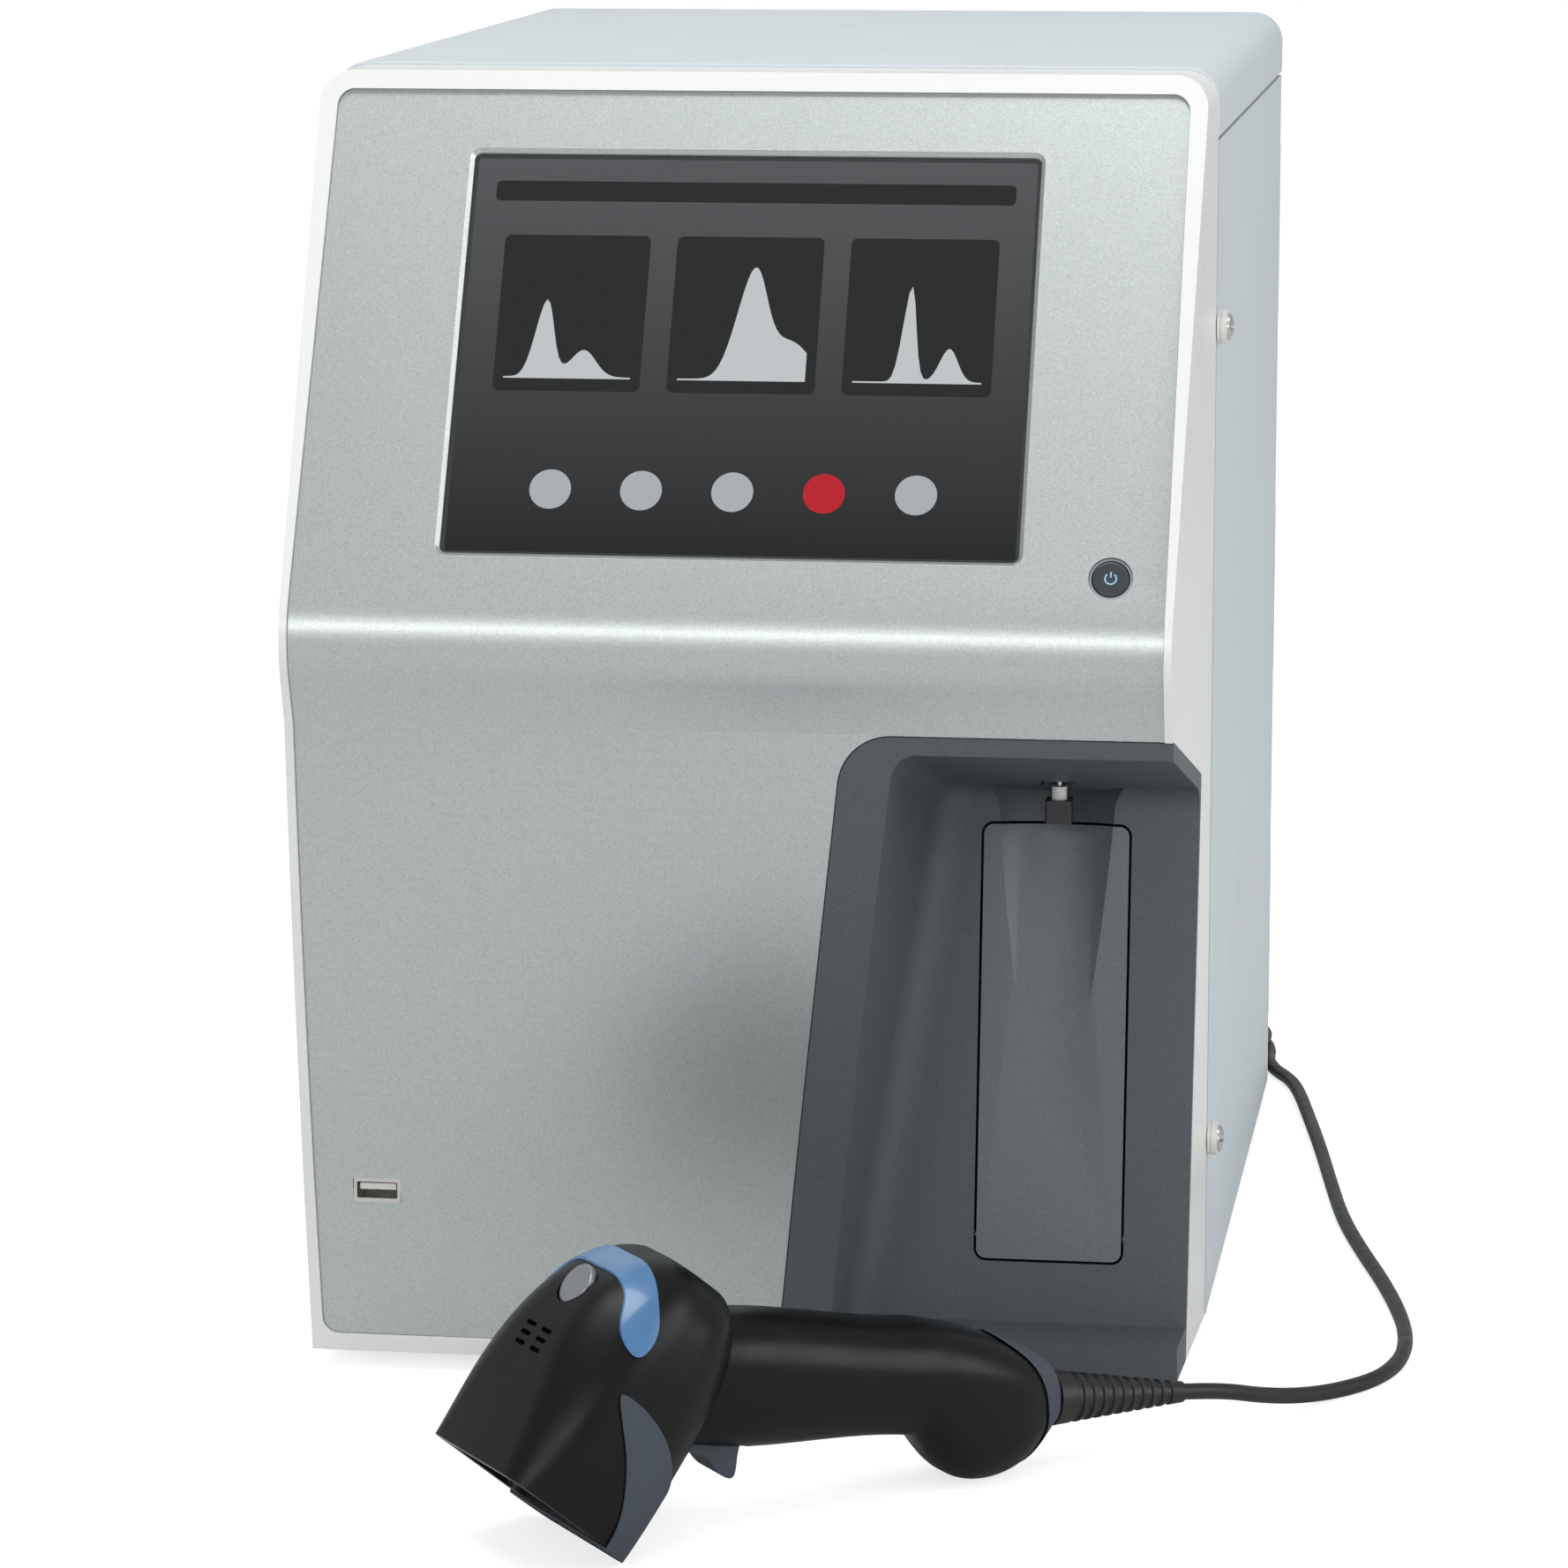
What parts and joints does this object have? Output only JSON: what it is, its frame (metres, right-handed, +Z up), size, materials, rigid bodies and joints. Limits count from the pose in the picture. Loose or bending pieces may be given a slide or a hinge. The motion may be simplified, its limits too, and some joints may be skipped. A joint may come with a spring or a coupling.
{
  "type": "hematology analyzer",
  "caption": "Bench-top blood cell analyzer with a sloped touch display, an open sampling port with a pressed start plate, a hinged side door and a tethered hand-held code scanner.",
  "frame": {"origin": "on the bench, under the middle of the analyzer's footprint, level with the soles of its feet", "axes": "+X to the analyzer's right seen from the front, +Y to its rear, +Z up"},
  "size_m": [0.3348, 0.6835, 0.392],
  "materials": {
    "zinc_sheet": "satin zinc-plated sheet",
    "foot_rubber": "matte",
    "bezel_white": "smooth, semi-gloss",
    "fascia_silver": "silver flake paint under a clear coat",
    "port_charcoal": "fine spark-eroded texture",
    "plate_charcoal": "fine spark-eroded texture",
    "steel": "satin stainless",
    "black_plastic": "satin",
    "screen_glass": "polished",
    "display_black": "satin",
    "button_black": "gloss",
    "switch_ring": "satin",
    "socket_steel": "bright nickel-plated",
    "white_nylon": "satin",
    "panel_grey": "smooth light blue-grey powder coat",
    "fitting_white": "satin",
    "aluminium": "fine milled",
    "motor_black": "satin black",
    "belt_rubber": "matte",
    "wash_black": "satin",
    "bath_acrylic": "polished acrylic",
    "syringe_glass": "polished",
    "valve_cream": "satin",
    "board_green": "solder-mask green",
    "tube_clear": "clear flexible tube",
    "scanner_black": "satin, light grain",
    "scanner_slate": "soft-touch slate grey",
    "light_blue": "translucent blue",
    "window_dark": "polished",
    "badge_silver": "satin",
    "cord_black": "satin"
  },
  "bodies": {
    "housing": {"base_tray": "zinc_sheet", "rubber_feet": "foot_rubber", "front_bezel": "bezel_white", "front_fascia": "fascia_silver", "port_moulding": "port_charcoal", "start_plate_pin": "steel", "start_switch": "black_plastic", "display_glass": "screen_glass", "display_module": "display_black", "power_switch": "switch_ring", "usb_front_shell": "socket_steel", "usb_front_tongue": "white_nylon", "top_cover": "panel_grey", "left_cover": "panel_grey", "door_hinge_pins": "steel", "rear_panel": "panel_grey", "rear_panel_screws": "steel", "mains_inlet": "black_plastic", "rear_data_ports": "socket_steel", "reagent_fittings": "fitting_white", "fan_frame": "black_plastic", "service_bulkhead": "zinc_sheet", "probe_guide_rail": "aluminium", "probe_motor": "motor_black", "probe_belt": "belt_rubber", "probe_wash_block": "wash_black", "probe_collar": "white_nylon", "counting_baths": "bath_acrylic", "syringe_drive": "aluminium", "syringe_barrels": "syringe_glass", "pump_body": "motor_black", "valve_bank": "valve_cream", "optics_module": "aluminium", "main_board": "board_green", "power_supply": "zinc_sheet", "fluid_tubes": "tube_clear", "scanner_cord": "cord_black", "scanner_cord_coil": "cord_black", "scanner_plug": "cord_black"},
    "start_plate": {"start_plate": "plate_charcoal"},
    "power_button": {"power_button": "button_black"},
    "probe_carriage": {"probe_carriage": "aluminium", "aspiration_probe": "steel"},
    "probe_drive_pulley": {"probe_drive_pulley": "aluminium"},
    "probe_idler_pulley": {"probe_idler_pulley": "aluminium"},
    "syringe_plungers": {"syringe_plungers": "steel"},
    "pump_rotor": {"pump_rotor": "white_nylon"},
    "fan_rotor": {"fan_rotor": "black_plastic"},
    "right_door": {"right_door": "panel_grey", "latch_washers": "white_nylon"},
    "door_latch_lower": {"door_latch_lower": "steel"},
    "door_latch_upper": {"door_latch_upper": "steel"},
    "scanner": {"scanner_housing": "scanner_black", "scanner_side_grips": "scanner_slate", "scanner_light_strip": "light_blue", "scanner_window": "window_dark", "scanner_badge": "badge_silver", "scanner_end_cap": "scanner_slate", "scanner_strain_relief": "cord_black"},
    "scanner_trigger": {"scanner_trigger": "scanner_slate"}
  },
  "joints": [
    {"name": "power_button_press", "type": "slide", "parent": "housing", "child": "power_button", "axis": [0, 0.8755, -0.4833], "range_m": [0, 0.0012], "stiffness_N_per_m": 300, "springref_m": -0.002},
    {"name": "start_plate_press", "type": "hinge", "parent": "housing", "child": "start_plate", "pos_m": [0.0906, -0.14606, 0.04004], "axis": [-1, 0, 0], "range_deg": [0, 1.3], "stiffness_Nm_per_rad": 0.6, "springref_deg": -2.86},
    {"name": "probe_slide", "type": "slide", "parent": "housing", "child": "probe_carriage", "axis": [0, 0, 1], "range_m": [-0.042, 0]},
    {"name": "probe_drive_spin", "type": "hinge", "parent": "housing", "child": "probe_drive_pulley", "pos_m": [0.06, -0.122, 0.335], "axis": [0, -1, 0], "range_deg": [-450, 60]},
    {"name": "probe_idler_spin", "type": "hinge", "parent": "housing", "child": "probe_idler_pulley", "pos_m": [0.06, -0.122, 0.205], "axis": [0, -1, 0], "range_deg": [-450, 60]},
    {"name": "syringe_slide", "type": "slide", "parent": "housing", "child": "syringe_plungers", "axis": [0, 0, -1], "range_m": [0, 0.03]},
    {"name": "pump_rotor_spin", "type": "hinge", "parent": "housing", "child": "pump_rotor", "pos_m": [0.03, 0.095, 0.12], "axis": [1, 0, 0], "continuous": true},
    {"name": "fan_rotor_spin", "type": "hinge", "parent": "housing", "child": "fan_rotor", "pos_m": [-0.07, 0.201, 0.25], "axis": [0, 1, 0], "continuous": true},
    {"name": "right_door_swing", "type": "hinge", "parent": "housing", "child": "right_door", "pos_m": [0.1332, 0.2126, 0.188], "axis": [0, 0, 1], "range_deg": [0, 100]},
    {"name": "door_latch_lower_turn", "type": "hinge", "parent": "right_door", "child": "door_latch_lower", "pos_m": [0.135, -0.102, 0.0618], "axis": [1, 0, 0], "range_deg": [0, 90]},
    {"name": "door_latch_upper_turn", "type": "hinge", "parent": "right_door", "child": "door_latch_upper", "pos_m": [0.135, -0.102, 0.3139], "axis": [1, 0, 0], "range_deg": [0, 90]},
    {"name": "scanner_lift", "type": "slide", "parent": "housing", "child": "scanner", "axis": [0, 0, 1], "range_m": [0, 0.12]},
    {"name": "scanner_trigger_pull", "type": "hinge", "parent": "scanner", "child": "scanner_trigger", "pos_m": [0.00491, -0.31761, 0.028], "axis": [0.5997, -0.8002, 0], "range_deg": [0, 7], "stiffness_Nm_per_rad": 0.1, "springref_deg": -11.46}
  ],
  "couplings": [
    {"joint": "probe_drive_spin", "follows": "probe_slide", "rad_per_m": 149.7},
    {"joint": "probe_idler_spin", "follows": "probe_slide", "rad_per_m": 149.7}
  ]
}
